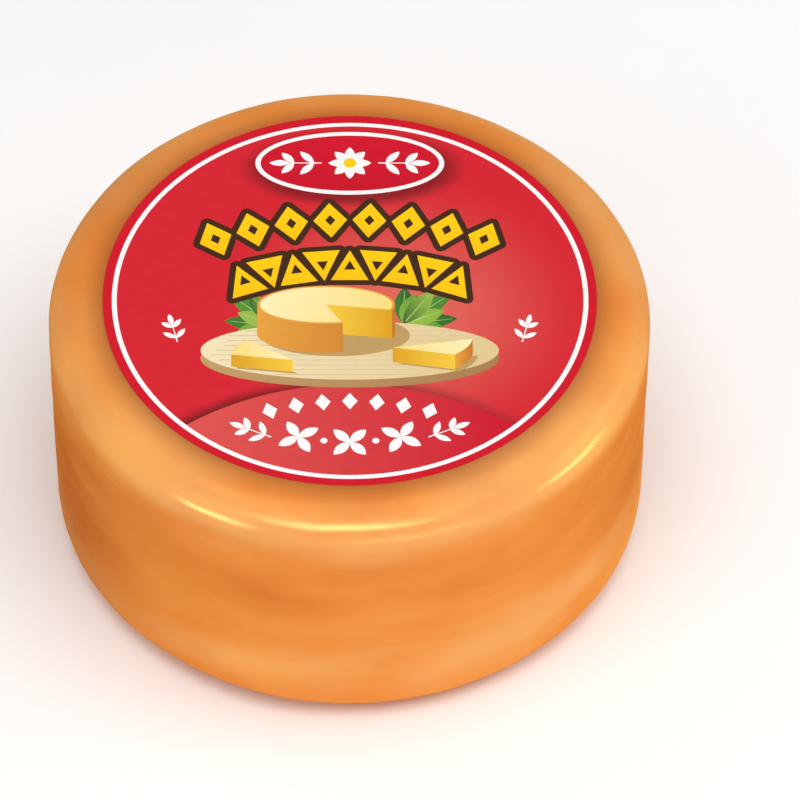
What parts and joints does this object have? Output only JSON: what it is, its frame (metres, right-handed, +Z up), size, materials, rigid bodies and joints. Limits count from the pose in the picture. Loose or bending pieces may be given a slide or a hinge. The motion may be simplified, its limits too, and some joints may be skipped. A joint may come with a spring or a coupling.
{
  "type": "smoked kashkaval wheel",
  "caption": "Small whole wheel of smoked semi-hard cheese with rounded edges and a round red printed paper label on its flat top face.",
  "frame": {"origin": "centre of the flat round face the wheel stands on", "axes": "+Z up along the wheel's axis, towards the label; -Y is the side that faces the camera in the picture, where the foot of the label's print lies; +X to the right"},
  "size_m": [0.1021, 0.102, 0.0512],
  "materials": {
    "smoked_rind": "satin smoked cheese rind, amber orange with browner patches",
    "label_paper": "coated printed paper, red with a white ring"
  },
  "bodies": {
    "root": {"cheese_wheel": "smoked_rind", "paper_label": "label_paper"}
  },
  "joints": []
}
